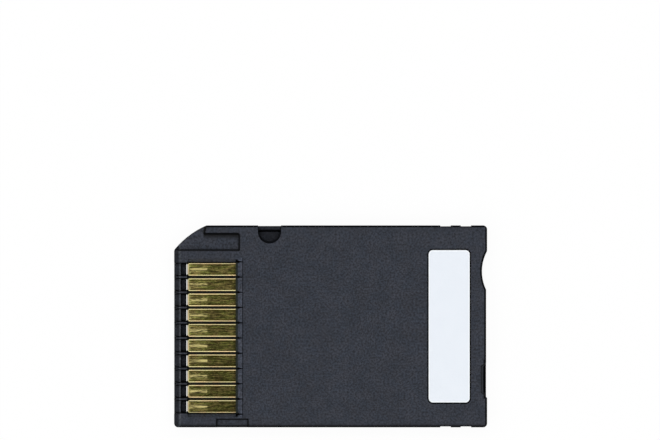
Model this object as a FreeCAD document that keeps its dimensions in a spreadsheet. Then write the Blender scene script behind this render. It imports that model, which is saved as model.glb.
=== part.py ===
# Flash memory card, lying on its label face with the contact side up.
#
# Millimetres. X runs along the card with the contact end at -X, Y runs across it with the cut corner at
# (-X, +Y), and Z is up. The origin is the middle of the label face, so the card fills
# X -15.5 to 15.5, Y -10 to 10 and Z 0 to 1.6.

import FreeCAD, Part

import math
import os
from collections import namedtuple

import Sketcher

DRIVING_SIZES = [
    # Card
    ("card_length", 31.0, "contact end to rear end"),
    ("card_width", 20.0, "side to side"),
    ("card_thickness", 1.6, "label face to contact face"),
    ("corner_radius", 0.4, "round of the three plain corners, seen from above"),
    ("cut_corner_length", 3.2, "cut corner, along the card"),
    ("cut_corner_width", 2.44, "cut corner, across the card"),
    ("cut_corner_radius", 8.4, "bow of the cut corner's edge"),
    ("cut_corner_blend", 0.4, "round of the cut corner's two ends"),
    ("edge_round", 0.12, "round of the rim of both faces"),
    # Layers under the contact face
    ("contact_depth", 0.35, "contact face down to the top of the contacts"),
    ("contact_thickness", 0.18, "stamped contact strip"),
    ("board_thickness", 0.33, "bare circuit board"),
    ("label_floor", 0.25, "plastic between the label face and the chips"),
    # Walls and fits inside
    ("shell_wall", 0.9, "contact shell's wall round the board"),
    ("step_wall", 0.35, "plastic between the board and the corner recess or latch notch"),
    ("board_clearance", 0.05, "board to the wall round it"),
    ("board_ledge", 0.35, "label shell's ledge under the board's edge"),
    # Nose bar and seam
    ("nose_width", 1.19, "front edge to the seam"),
    ("nose_corner_step", 0.25, "where the seam turns, below the end of the cut corner"),
    ("nose_return", 0.75, "end of the nose bar, past the end of the cut corner"),
    ("nose_side", 1.03, "width of the nose bar's end at the side of the card"),
    ("seam_gap", 0.03, "nose bar to label shell"),
    ("slit_width", 0.15, "slit through the card in front of each contact, along the card"),
    ("slit_length", 1.0, "slit across the card"),
    ("bevel_length", 0.45, "front bevel of the contact face, along the card"),
    ("bevel_drop", 0.3, "front bevel, in height"),
    # Contact row
    ("contact_count", 10, "contacts in the row"),
    ("contact_pitch", 1.51, "contact to contact"),
    ("row_margin", 1.295, "side of the card to the first contact's share of the row"),
    ("window_lean", 0.3, "run of the window's two end walls, from the ribs up to the contact face"),
    ("rib_drop", 0.05, "top of the contacts down to the rib between two of them"),
    ("rib_top", 0.11, "rib at its top"),
    ("rib_base", 0.15, "rib at its foot"),
    ("shoulder_width", 0.14, "rib's tall front end beside the nose, at the contact face"),
    ("shoulder_tip", 0.04, "blunt point of that end"),
    ("shoulder_gap", 0.1, "start of that point to the front of the contacts"),
    ("shoulder_lean", 0.21, "run of that end's walls, from the contact face to its foot"),
    ("shoulder_setback", 0.04, "front edge to the foot of that end"),
    ("groove_width", 0.28, "groove between two ramps, at their foot"),
    ("groove_tip", 0.06, "groove between two ramps, at their top"),
    ("contact_clearance", 0.01, "contact to rib, and contact to the board's front edge"),
    ("contact_length", 4.74, "contact strip"),
    ("contact_corner", 0.18, "cut of the contact's two front corners"),
    ("contact_round", 0.16, "round of the contact's two long upper edges"),
    ("contact_nose_length", 0.12, "slope at the contact's front end, along the card"),
    ("contact_nose_drop", 0.06, "slope at the contact's front end, in height"),
    ("contact_end_gap", 0.22, "bare board between the contact and the ramp"),
    ("ramp_length", 0.5, "ramp from the contacts up to the contact face"),
    ("ramp_step", 0.03, "small step at the top of the ramp"),
    ("crest_start", 0.52, "front edge to the crest of the nose in each slot"),
    ("crest_length", 0.14, "flat top of that crest"),
    ("crest_fall", 0.08, "run of the crest's rear slope"),
    ("lip_drop", 0.3, "crest down to the front edge of the slot"),
    ("well_depth", 0.75, "contact face down to the floor behind the crest"),
    # Recess beside the cut corner
    ("recess_draft", 15.0, "lean of the walls of this recess and of the one in the other side, in degrees"),
    ("corner_recess_depth", 0.35, "contact face down to its floor"),
    ("corner_recess_length", 6.5, "front edge to its rear wall"),
    ("corner_recess_width", 2.5, "side of the card to its inner wall"),
    ("rail_width", 0.82, "rail that is left at the side of the card"),
    ("rail_start", 3.05, "front edge to the inner end of the rail"),
    ("rail_slant", 0.19, "slant of the rail's front end"),
    # Half-round latch notch in the side
    ("latch_place", 9.45, "front edge to the middle of the notch"),
    ("latch_radius", 1.15, "half its width"),
    ("latch_reach", 1.79, "side of the card to the deepest point of its outline"),
    ("latch_depth", 0.6, "contact face down to its floor"),
    ("latch_lean", 0.19, "run of its leaning wall, from the contact face to its floor"),
    ("latch_dam_width", 0.4, "low dam at the side of the card, at its top"),
    ("latch_dam_lean", 0.14, "run of the dam's inner wall"),
    ("latch_dam_drop", 0.25, "contact face down to the top of the dam"),
    ("latch_inset", 0.06, "side wall set back at the notch"),
    # Shallow recess in the other side
    ("side_recess_place", 4.18, "front edge to its front wall"),
    ("side_recess_length", 3.19, "along the card"),
    ("side_recess_width", 0.85, "side of the card to its inner wall"),
    ("side_recess_depth", 0.3, "contact face down to its floor"),
    # Grip notches in both sides, near the rear
    ("grip_rear", 1.56, "rear end to the nearest notch"),
    ("grip_length", 1.06, "one notch, along the card"),
    ("grip_pitch", 2.02, "notch to notch"),
    ("grip_depth", 0.09, "depth into the side"),
    # Rear end
    ("finger_place", 4.55, "side of the card to the middle of the finger notch"),
    ("finger_depth", 0.51, "depth into the rear end"),
    ("finger_radius", 4.2, "hollow of the notch"),
    ("finger_blend", 0.4, "round of the notch's two ends"),
    ("rear_step", 0.1, "rear end set back beside the finger notch"),
    ("scoop_place", 2.93, "other side of the card to the near end of the nail scoop"),
    ("scoop_length", 3.67, "nail scoop across the card, at the rear end"),
    ("scoop_slant", 0.54, "slant of the scoop's two ends, across the card"),
    ("scoop_width", 0.62, "nail scoop into the contact face"),
    ("scoop_depth", 0.5, "nail scoop, in height"),
    ("scoop_draft", 28.0, "lean of its walls, in degrees"),
    # Writing strip
    ("strip_length", 4.12, "white strip's recess along the card"),
    ("strip_width", 15.14, "white strip's recess across the card"),
    ("strip_rear", 1.70, "rear end to that recess"),
    ("strip_side", 2.44, "side of the card to that recess"),
    ("strip_corner", 0.45, "corner round of that recess"),
    ("strip_thickness", 0.05, "film, and the recess it lies in"),
    ("strip_clearance", 0.03, "film to the wall of that recess"),
    # Packages under the board
    ("chip_clearance", 0.05, "packages to the label shell's floor"),
    ("memory_length", 12.0, "memory package along the card"),
    ("memory_margin", 0.7, "memory package to the walls of its bay"),
    ("controller_length", 6.5, "square controller package"),
    ("package_gap", 1.2, "memory package to controller"),
    ("package_chamfer", 0.08, "edge of a package's marked face"),
    ("pin_mark_radius", 0.35, "round mark at the first terminal"),
    ("pin_mark_depth", 0.06, "depth of that mark"),
    ("pin_mark_inset", 0.9, "package edges to the middle of that mark"),
    ("passive_length", 1.0, "chip capacitor or resistor"),
    ("passive_width", 0.5, "chip capacitor or resistor"),
    ("passive_cap", 0.25, "metal end of a chip capacitor or resistor"),
    ("passive_skin", 0.02, "step from the metal end to the body"),
    ("passive_gap", 0.8, "free board between rows"),
    ("passive_pitch", 1.4, "part to part in a row"),
    ("resistor_clearance", 0.2, "resistors to the label shell's floor"),
]
GRIP_COUNT = 2
CAPACITOR_COUNT = 6
RESISTOR_COUNT = 4

# How far a cutting profile runs past the surface that it has to cut through.
OVERSHOOT = 1.0

# Edges this close to a height count as lying at it.
LEVEL_TOLERANCE = 1e-6

# Most of a wall's height that a round may take up.
ROUND_LIMIT = 0.9

# Which way an arc turns when its outline is followed.
LEFT = 1
RIGHT = -1

doc = FreeCAD.newDocument("MemoryCard")


# Sizes and their formulas

def fill_sheet():
    """Write the driving sizes to the spreadsheet, one row each: name, value, meaning."""
    spreadsheet = doc.addObject("Spreadsheet::Sheet", "Sizes")
    for row, (alias, value, meaning) in enumerate(DRIVING_SIZES, start=1):
        spreadsheet.set(f"A{row}", alias)
        spreadsheet.set(f"B{row}", str(value))
        spreadsheet.set(f"C{row}", meaning)
        spreadsheet.setAlias(f"B{row}", alias)
    doc.recompute()
    return spreadsheet


class Size:
    """A number together with the sheet formula that gives it."""

    def __init__(self, value, formula):
        self.value = value
        self.formula = formula

    def __add__(self, other):
        other = as_size(other)
        return Size(self.value + other.value, f"({self.formula} + {other.formula})")

    def __sub__(self, other):
        other = as_size(other)
        return Size(self.value - other.value, f"({self.formula} - {other.formula})")

    def __mul__(self, other):
        other = as_size(other)
        return Size(self.value * other.value, f"({self.formula} * {other.formula})")

    def __truediv__(self, other):
        other = as_size(other)
        return Size(self.value / other.value, f"({self.formula} / {other.formula})")

    def __neg__(self):
        return Size(-self.value, f"(-1 * {self.formula})")


def as_size(number):
    return number if isinstance(number, Size) else Size(float(number), f"({float(number)})")


def root(size):
    return Size(math.sqrt(size.value), f"sqrt({size.formula})")


def smaller(first, second):
    return Size(min(first.value, second.value), f"min({first.formula}; {second.formula})")


def lean_angle(run, height):
    """Angle from upright of a wall with this run over this height, in degrees."""
    angle = math.degrees(math.atan2(run.value, height.value))
    return Size(angle, f"atan({run.formula} / {height.formula})")


def bind(item, path, size):
    item.setExpression(path, as_size(size).formula)


sheet = fill_sheet()
s = namedtuple("Sizes", [alias for alias, _, _ in DRIVING_SIZES])(
    *[Size(sheet.get(alias), f"Sizes.{alias}") for alias, _, _ in DRIVING_SIZES])

# Ends and sides of the card
front = -s.card_length / 2
rear = s.card_length / 2
near_side = -s.card_width / 2
far_side = s.card_width / 2

# Heights
face_z = s.card_thickness
contact_z = face_z - s.contact_depth
board_top_z = contact_z - s.contact_thickness
parting_z = board_top_z - s.board_thickness
well_z = face_z - s.well_depth
rib_z = contact_z - s.rib_drop

# Seam between nose bar and label shell, and the board that starts behind its slits
seam_x = front + s.nose_width
board_front = seam_x + s.slit_width

# Contact row: each contact has one pitch of the row, with half a rib on either side of its slot
row_start = near_side + s.row_margin
row_end = row_start + s.contact_count * s.contact_pitch
row_middle = (row_start + row_end) / 2
contact_half = (s.contact_pitch - s.rib_base) / 2 - s.contact_clearance
contact_front = board_front + s.contact_clearance
contact_rear = contact_front + s.contact_length
ramp_foot = contact_rear + s.contact_end_gap
ramp_top = ramp_foot + s.ramp_length
latch_x = front + s.latch_place

# Room for the packages between the label shell's floor and the board
package_height = parting_z - s.label_floor - s.chip_clearance
resistor_height = parting_z - s.label_floor - s.resistor_clearance


def row_place(index):
    """Y of the contact with this index, counted from zero."""
    return row_start + s.contact_pitch * (index + 0.5)


# Sketches

Corner = namedtuple("Corner", "x y radius turn", defaults=(None, LEFT))


def origin_feature(body, role):
    return next(item for item in body.Origin.OriginFeatures if item.Role == role)


def new_body(name):
    body = doc.addObject("PartDesign::Body", name)
    body.Label = name
    return body


def arc_geometry(start, end, radius, turn):
    """Arc under half a turn from start to end, as the counter-clockwise arc that a sketch holds."""
    chord = end - start
    leftward = FreeCAD.Vector(-chord.y, chord.x, 0).normalize()
    middle = (start + end) / 2
    reach = math.sqrt(radius ** 2 - (chord.Length / 2) ** 2)
    centre = middle + leftward * reach * turn
    first, last = (start, end) if turn == LEFT else (end, start)
    first_angle = math.atan2(first.y - centre.y, first.x - centre.x)
    last_angle = math.atan2(last.y - centre.y, last.x - centre.x)
    if last_angle < first_angle:
        last_angle += 2 * math.pi
    circle = Part.Circle(centre, FreeCAD.Vector(0, 0, 1), radius)
    return Part.ArcOfCircle(circle, first_angle, last_angle)


def new_sketch(body, name, plane, offset):
    """Empty sketch on one of the body's origin planes, moved along that plane's normal."""
    sketch = body.newObject("Sketcher::SketchObject", f"{body.Label}_{name}_sketch")
    sketch.AttachmentSupport = [(origin_feature(body, plane), "")]
    sketch.MapMode = "FlatFace"
    bind(sketch, "AttachmentOffset.Base.z", offset)
    return sketch


def draw_outline(sketch, corners):
    """Add one closed outline. A corner with a radius goes on to the next one by an arc."""
    base = sketch.GeometryCount
    count = len(corners)
    ends = []
    for index, corner in enumerate(corners):
        following = corners[(index + 1) % count]
        start = FreeCAD.Vector(corner.x.value, corner.y.value, 0)
        end = FreeCAD.Vector(following.x.value, following.y.value, 0)
        if corner.radius is None:
            sketch.addGeometry(Part.LineSegment(start, end), False)
            ends.append((1, 2))
        else:
            sketch.addGeometry(arc_geometry(start, end, corner.radius.value, corner.turn), False)
            ends.append((1, 2) if corner.turn == LEFT else (2, 1))
    for index, corner in enumerate(corners):
        edge = base + index
        following = (index + 1) % count
        begin = ends[index][0]
        sketch.addConstraint(Sketcher.Constraint(
            "Coincident", edge, ends[index][1], base + following, ends[following][0]))
        place = [("DistanceX", corner.x), ("DistanceY", corner.y)]
        for kind, size in place:
            number = sketch.addConstraint(Sketcher.Constraint(kind, -1, 1, edge, begin, size.value))
            bind(sketch, f"Constraints[{number}]", size)
        if corner.radius is not None:
            number = sketch.addConstraint(Sketcher.Constraint("Radius", edge, corner.radius.value))
            bind(sketch, f"Constraints[{number}]", corner.radius)


def draw_circle(sketch, x, y, radius):
    place = FreeCAD.Vector(x.value, y.value, 0)
    edge = sketch.addGeometry(Part.Circle(place, FreeCAD.Vector(0, 0, 1), radius.value), False)
    sizes = [
        (Sketcher.Constraint("DistanceX", -1, 1, edge, 3, x.value), x),
        (Sketcher.Constraint("DistanceY", -1, 1, edge, 3, y.value), y),
        (Sketcher.Constraint("Radius", edge, radius.value), radius),
    ]
    for constraint, size in sizes:
        bind(sketch, f"Constraints[{sketch.addConstraint(constraint)}]", size)


def sketch_outline(body, name, corners, plane="XY_Plane", offset=0):
    sketch = new_sketch(body, name, plane, offset)
    draw_outline(sketch, corners)
    return sketch


def rectangle(x_low, x_high, y_low, y_high):
    return [Corner(x_low, y_low), Corner(x_high, y_low), Corner(x_high, y_high), Corner(x_low, y_high)]


def rounded_rectangle(x_low, x_high, y_low, y_high, radius):
    return [
        Corner(x_low + radius, y_low), Corner(x_high - radius, y_low, radius),
        Corner(x_high, y_low + radius), Corner(x_high, y_high - radius, radius),
        Corner(x_high - radius, y_high), Corner(x_low + radius, y_high, radius),
        Corner(x_low, y_high - radius), Corner(x_low, y_low + radius, radius),
    ]


# Features

def pad(body, name, sketch, height, downward=False, lean=None):
    """Add to a height, up from the sketch unless told otherwise. A lean spreads its walls as it goes."""
    feature = body.newObject("PartDesign::Pad", f"{body.Label}_{name}")
    feature.Profile = sketch
    feature.Reversed = downward
    bind(feature, "Length", height)
    if lean is not None:
        bind(feature, "TaperAngle", lean_angle(lean, height))
    return feature


def pocket(body, name, sketch, depth, upward=False, draft=None):
    """Cut to a depth, down from the sketch unless told otherwise. A draft narrows it as it goes."""
    feature = body.newObject("PartDesign::Pocket", f"{body.Label}_{name}")
    feature.Profile = sketch
    feature.Reversed = upward
    bind(feature, "Length", depth)
    if draft is not None:
        bind(feature, "TaperAngle", -draft)
    return feature


def pocket_across(body, name, sketch, width=None):
    """Cut to both sides of the sketch, right through unless a whole width is given."""
    feature = body.newObject("PartDesign::Pocket", f"{body.Label}_{name}")
    feature.Profile = sketch
    feature.SideType = "Symmetric"
    if width is None:
        feature.Type = "ThroughAll"
    else:
        bind(feature, "Length", width)
    return feature


def half_turn_groove(body, name, sketch):
    """Cut by turning an upright sketch half a turn about its own upright axis, towards -Y."""
    feature = body.newObject("PartDesign::Groove", f"{body.Label}_{name}")
    feature.Profile = sketch
    feature.ReferenceAxis = (sketch, ["V_Axis"])
    feature.Angle = 180
    feature.Reversed = True
    return feature


def row_of(body, features, count, pitch):
    """Repeat features along +Y."""
    doc.recompute()
    pattern = body.newObject("PartDesign::LinearPattern", f"{features[0].Name}_row")
    pattern.Originals = features
    pattern.Direction = (origin_feature(body, "Y_Axis"), [""])
    bind(pattern, "Length", (count - 1) * pitch)
    bind(pattern, "Occurrences", count)
    body.Tip = pattern
    return pattern


def edge_names(shape, wanted):
    return [f"Edge{number}" for number, edge in enumerate(shape.Edges, start=1) if wanted(edge)]


def level_at(*heights):
    """Test for an edge that lies flat at one of these heights."""
    def test(edge):
        box = edge.BoundBox
        flat = box.ZLength < LEVEL_TOLERANCE
        return flat and any(abs(box.ZMin - height.value) < LEVEL_TOLERANCE for height in heights)
    return test


def along_x_at(height):
    """Test for an edge that runs along the card at this height."""
    def test(edge):
        box = edge.BoundBox
        return level_at(height)(edge) and box.YLength < LEVEL_TOLERANCE
    return test


def soften(body, kind, feature, wanted, size):
    """Fillet or Chamfer on the feature's edges that pass the test."""
    doc.recompute()
    softened = body.newObject(f"PartDesign::{kind}", f"{feature.Name}_{kind.lower()}")
    softened.Base = (feature, edge_names(feature.Shape, wanted))
    bind(softened, "Radius" if kind == "Fillet" else "Size", size)
    return softened


# Outlines that the two shells and the board share

def cut_corner_path():
    """Bowed edge of the cut corner with a round at each end, from the side of the card to its front end."""
    length = s.cut_corner_length
    width = s.cut_corner_width
    bow = s.cut_corner_radius
    blend = s.cut_corner_blend
    chord = root(length * length + width * width)
    rise = root(bow * bow - chord * chord / 4)
    centre_x = front + length / 2 + rise * width / chord
    centre_y = far_side - width / 2 - rise * length / chord

    # Centres of the two rounds, measured from the centre of the bow
    arm = bow - blend
    side_y = far_side - blend - centre_y
    side_x = -root(arm * arm - side_y * side_y)
    front_x = front + blend - centre_x
    front_y = root(arm * arm - front_x * front_x)
    share = bow / arm
    return [
        Corner(centre_x + side_x, far_side, blend),
        Corner(centre_x + side_x * share, centre_y + side_y * share, bow),
        Corner(centre_x + front_x * share, centre_y + front_y * share, blend),
        Corner(front, centre_y + front_y),
    ]


def card_outline():
    """Outline of the card, with the cut corner and the finger notch in the rear end."""
    radius = s.corner_radius
    notch_y = far_side - s.finger_place
    arm = s.finger_radius + s.finger_blend
    half = root(arm * arm - (arm - s.finger_depth) * (arm - s.finger_depth))
    share = s.finger_radius / arm
    hollow_x = rear - s.finger_depth + s.finger_radius
    tangent_x = hollow_x - (arm - s.finger_depth) * share
    tangent_y = half * share
    return [
        Corner(front + radius, near_side),
        Corner(rear - radius, near_side, radius),
        Corner(rear, near_side + radius),
        Corner(rear, notch_y - half, s.finger_blend),
        Corner(tangent_x, notch_y - tangent_y, s.finger_radius, RIGHT),
        Corner(tangent_x, notch_y + tangent_y, s.finger_blend),
        Corner(rear, notch_y + half),
        Corner(rear, far_side - radius, radius),
        Corner(rear - radius, far_side),
        *cut_corner_path(),
        Corner(front, near_side + radius, radius),
    ]


def seam_outline(gap, outer_x):
    """Everything on one side of the seam, out to outer_x and past both sides of the card."""
    turn_y = far_side - s.cut_corner_width - s.nose_corner_step
    end_x = front + s.cut_corner_length + s.nose_return
    path = [
        Corner(seam_x + gap, near_side - OVERSHOOT),
        Corner(seam_x + gap, turn_y - gap, s.cut_corner_radius - s.nose_width, RIGHT),
        Corner(end_x + gap, far_side - s.nose_side - gap),
        Corner(end_x + gap, far_side + OVERSHOOT),
    ]
    return path + [Corner(outer_x, far_side + OVERSHOOT), Corner(outer_x, near_side - OVERSHOOT)]


def board_outline(inset, front_inset):
    """Room for the board, stepped clear of the corner recess and the latch notch, drawn in by an inset."""
    step_x = latch_x + s.latch_radius + s.step_wall + inset
    step_y = far_side - s.corner_recess_width - s.step_wall - inset
    x_low = seam_x + front_inset
    x_high = rear - s.shell_wall - inset
    y_low = near_side + s.shell_wall + inset
    y_high = far_side - s.shell_wall - inset
    return [
        Corner(x_low, y_low), Corner(x_high, y_low), Corner(x_high, y_high),
        Corner(step_x, y_high), Corner(step_x, step_y), Corner(x_low, step_y),
    ]


def cut_rim(body):
    """Grip notches, the set-back rear end and the set-back side at the latch, through the whole shell."""
    grips = new_sketch(body, "grip_notches", "XY_Plane", 0)
    for index in range(GRIP_COUNT):
        x_high = rear - s.grip_rear - s.grip_pitch * index
        x_low = x_high - s.grip_length
        draw_outline(grips, rectangle(x_low, x_high, near_side - OVERSHOOT, near_side + s.grip_depth))
        draw_outline(grips, rectangle(x_low, x_high, far_side - s.grip_depth, far_side + OVERSHOOT))
    pocket_across(body, "grip_notches", grips)

    step = rectangle(
        rear - s.rear_step, rear + OVERSHOOT, near_side + s.scoop_place, far_side - s.finger_place)
    pocket_across(body, "rear_step", sketch_outline(body, "rear_step", step))

    inset = rectangle(
        latch_x - s.latch_radius, latch_x + s.latch_radius,
        far_side - s.latch_inset, far_side + OVERSHOOT)
    pocket_across(body, "latch_inset", sketch_outline(body, "latch_inset", inset))


# Contact shell

def cut_contact_window(body):
    """One opening over all the slots: lip, crest and well of the nose, then the ramp behind the board."""
    crest_x = front + s.crest_start
    crest_end = crest_x + s.crest_length
    well_x = crest_end + s.crest_fall
    profile = [
        Corner(front - OVERSHOOT, contact_z - s.lip_drop),
        Corner(front, contact_z - s.lip_drop),
        Corner(crest_x, contact_z),
        Corner(crest_end, contact_z),
        Corner(well_x, well_z),
        Corner(ramp_foot, well_z),
        Corner(ramp_foot, contact_z),
        Corner(ramp_top, face_z - s.ramp_step),
        Corner(ramp_top, face_z + OVERSHOOT),
        Corner(front - OVERSHOOT, face_z + OVERSHOOT),
    ]
    sketch = sketch_outline(body, "window", profile, "XZ_Plane", -row_middle)
    pocket_across(body, "window", sketch, s.contact_count * s.contact_pitch)


def add_ribs(body):
    """Low ribs between the contacts, each with a tall, pointed front end beside the nose."""
    y = row_start
    base = s.rib_base / 2
    top = s.rib_top / 2
    profile = [
        Corner(y - base, parting_z), Corner(y + base, parting_z),
        Corner(y + top, rib_z), Corner(y - top, rib_z),
    ]
    sketch = sketch_outline(body, "rib", profile, "YZ_Plane", front)
    rib = pad(body, "rib", sketch, ramp_top + s.ramp_length - front)

    half = s.shoulder_width / 2
    tip = s.shoulder_tip / 2
    begin = front + s.shoulder_setback + s.shoulder_lean
    point = contact_front - s.shoulder_gap
    point_end = point + half - tip
    outline = [
        Corner(begin, y - half), Corner(point, y - half), Corner(point_end, y - tip),
        Corner(point_end, y + tip), Corner(point, y + half), Corner(begin, y + half),
    ]
    sketch = sketch_outline(body, "shoulder", outline, offset=face_z)
    shoulder = pad(body, "shoulder", sketch, s.well_depth, downward=True, lean=s.shoulder_lean)
    row_of(body, [rib, shoulder], s.contact_count + 1, s.contact_pitch)


def lean_window_ends(body):
    """Slope the window's two end walls away from the contacts."""
    sketch = new_sketch(body, "window_ends", "YZ_Plane", contact_front)
    top_z = face_z + OVERSHOOT
    for wall, outward in ((row_start, -s.window_lean), (row_end, s.window_lean)):
        draw_outline(sketch, [
            Corner(wall, rib_z), Corner(wall + outward, face_z),
            Corner(wall + outward, top_z), Corner(wall, top_z),
        ])
    pocket(body, "window_ends", sketch, ramp_foot - contact_front, upward=True)


def cut_ramp_grooves(body):
    """Narrowing grooves that part the ramps, down to the tops of the ribs."""
    y = row_start
    foot = s.groove_width / 2
    tip = s.groove_tip / 2
    outline = [
        Corner(contact_rear, y - foot), Corner(ramp_top, y - tip),
        Corner(ramp_top, y + tip), Corner(contact_rear, y + foot),
    ]
    sketch = sketch_outline(body, "ramp_groove", outline, offset=face_z)
    groove = pocket(body, "ramp_groove", sketch, face_z - rib_z)
    row_of(body, [groove], s.contact_count + 1, s.contact_pitch)


def cut_front_bevel(body):
    profile = [
        Corner(front - OVERSHOOT, face_z - s.bevel_drop),
        Corner(front, face_z - s.bevel_drop),
        Corner(front + s.bevel_length, face_z),
        Corner(front + s.bevel_length, face_z + OVERSHOOT),
        Corner(front - OVERSHOOT, face_z + OVERSHOOT),
    ]
    pocket_across(body, "front_bevel", sketch_outline(body, "front_bevel", profile, "XZ_Plane"))


def cut_corner_recess(body):
    """Recess that is open at the cut corner, with a rail left along the side of the card."""
    rail_x = front + s.rail_start
    outline = [
        Corner(front - OVERSHOOT, far_side - s.corner_recess_width),
        Corner(front + s.corner_recess_length, far_side - s.corner_recess_width),
        Corner(front + s.corner_recess_length, far_side - s.rail_width),
        Corner(rail_x, far_side - s.rail_width),
        Corner(rail_x + s.rail_slant, far_side),
        Corner(rail_x + s.rail_slant, far_side + OVERSHOOT),
        Corner(front - OVERSHOOT, far_side + OVERSHOOT),
    ]
    sketch = sketch_outline(body, "corner_recess", outline, offset=face_z)
    pocket(body, "corner_recess", sketch, s.corner_recess_depth, draft=s.recess_draft)


def cut_latch_notch(body):
    """Half-round notch with leaning walls: half a cone, and a straight mouth from it to the side."""
    centre_y = far_side - s.latch_reach + s.latch_radius
    floor_z = face_z - s.latch_depth
    top_z = face_z + OVERSHOOT
    radius = s.latch_radius
    floor_radius = radius - s.latch_lean
    axis = as_size(0)
    section = [Corner(floor_radius, floor_z), Corner(radius, face_z), Corner(radius, top_z)]
    mirrored = [Corner(-corner.x, corner.y) for corner in reversed(section)]

    mouth = sketch_outline(body, "latch_mouth", section + mirrored, "XZ_Plane", -centre_y)
    bind(mouth, "AttachmentOffset.Base.x", latch_x)
    pocket(body, "latch_mouth", mouth, s.latch_reach + OVERSHOOT)

    cone = [Corner(axis, floor_z)] + section + [Corner(axis, top_z)]
    turned = sketch_outline(body, "latch_cone", cone, "XZ_Plane", -centre_y)
    bind(turned, "AttachmentOffset.Base.x", latch_x)
    half_turn_groove(body, "latch_cone", turned)


def add_latch_dam(body):
    """Low dam across the mouth of the latch notch, rooted in the walls beside it and the floor below it."""
    reach = s.latch_radius + s.step_wall
    floor_z = face_z - s.latch_depth
    root_z = (floor_z + parting_z) / 2
    dam_z = face_z - s.latch_dam_drop
    outer = far_side - s.latch_inset / 2
    inner = far_side - s.latch_dam_width
    foot = inner - s.latch_dam_lean
    profile = [
        Corner(foot, root_z), Corner(outer, root_z), Corner(outer, dam_z),
        Corner(inner, dam_z), Corner(foot, floor_z),
    ]
    sketch = sketch_outline(body, "latch_dam", profile, "YZ_Plane", latch_x - reach)
    pad(body, "latch_dam", sketch, reach * 2)


def cut_side_recess(body):
    x_low = front + s.side_recess_place
    outline = rectangle(
        x_low, x_low + s.side_recess_length, near_side - OVERSHOOT, near_side + s.side_recess_width)
    sketch = sketch_outline(body, "side_recess", outline, offset=face_z)
    pocket(body, "side_recess", sketch, s.side_recess_depth, draft=s.recess_draft)


def cut_nail_scoop(body):
    """Scoop in the edge of the rear end, with leaning walls and slanted ends."""
    x_low = rear - s.scoop_width
    x_high = rear + OVERSHOOT
    y_low = near_side + s.scoop_place
    y_high = y_low + s.scoop_length
    outline = [
        Corner(x_low, y_low + s.scoop_slant), Corner(rear, y_low), Corner(x_high, y_low),
        Corner(x_high, y_high), Corner(rear, y_high), Corner(x_low, y_high - s.scoop_slant),
    ]
    sketch = sketch_outline(body, "nail_scoop", outline, offset=face_z)
    pocket(body, "nail_scoop", sketch, s.scoop_depth, draft=s.scoop_draft)


def strip_outline(inset):
    """Outline of the writing strip's recess, drawn in by an inset."""
    x_high = rear - s.strip_rear
    x_low = x_high - s.strip_length
    y_low = near_side + s.strip_side
    y_high = y_low + s.strip_width
    return rounded_rectangle(
        x_low + inset, x_high - inset, y_low + inset, y_high - inset, s.strip_corner - inset)


def make_contact_shell():
    """Upper moulding: contact face, side walls down to the parting plane, and the full-height nose bar."""
    body = new_body("contact_shell")
    block = pad(body, "block", sketch_outline(body, "block", card_outline()), face_z)
    soften(body, "Fillet", block, level_at(as_size(0), face_z), s.edge_round)
    behind = sketch_outline(body, "label_side_room", seam_outline(as_size(0), rear + OVERSHOOT))
    pocket(body, "label_side_room", behind, parting_z, upward=True)
    cut_contact_window(body)
    add_ribs(body)
    lean_window_ends(body)
    cut_ramp_grooves(body)
    bay = sketch_outline(body, "board_bay", board_outline(as_size(0), as_size(0)), offset=parting_z)
    pocket(body, "board_bay", bay, s.board_thickness, upward=True)
    cut_front_bevel(body)
    cut_corner_recess(body)
    cut_latch_notch(body)
    add_latch_dam(body)
    cut_side_recess(body)
    cut_nail_scoop(body)
    strip_bed = sketch_outline(body, "strip_bed", strip_outline(as_size(0)), offset=face_z)
    pocket(body, "strip_bed", strip_bed, s.strip_thickness)
    cut_rim(body)
    return body


# Label shell

def chip_bay():
    """Outline of the room for the packages, which leaves a ledge under the board's edge."""
    inset = s.board_clearance + s.board_ledge
    return board_outline(inset, s.slit_width + s.board_ledge)


def make_label_shell():
    """Lower moulding: a shallow tray behind the nose bar, with a slit at the seam before each contact."""
    body = new_body("label_shell")
    block = pad(body, "block", sketch_outline(body, "block", card_outline()), parting_z)
    soften(body, "Fillet", block, level_at(as_size(0)), s.edge_round)
    nose = sketch_outline(body, "nose_room", seam_outline(s.seam_gap, front - OVERSHOOT))
    pocket_across(body, "nose_room", nose)
    bay = sketch_outline(body, "chip_bay", chip_bay(), offset=parting_z)
    pocket(body, "chip_bay", bay, parting_z - s.label_floor)
    first = row_place(0)
    slit = rectangle(seam_x - s.seam_gap, board_front, first - s.slit_length / 2, first + s.slit_length / 2)
    slits = pocket_across(body, "slit", sketch_outline(body, "slit", slit))
    row_of(body, [slits], s.contact_count, s.contact_pitch)
    cut_rim(body)
    return body


# Board and contacts

def make_circuit_board():
    body = new_body("circuit_board")
    outline = sketch_outline(body, "board", board_outline(s.board_clearance, s.slit_width), offset=parting_z)
    pad(body, "board", outline, s.board_thickness)
    return body


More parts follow.
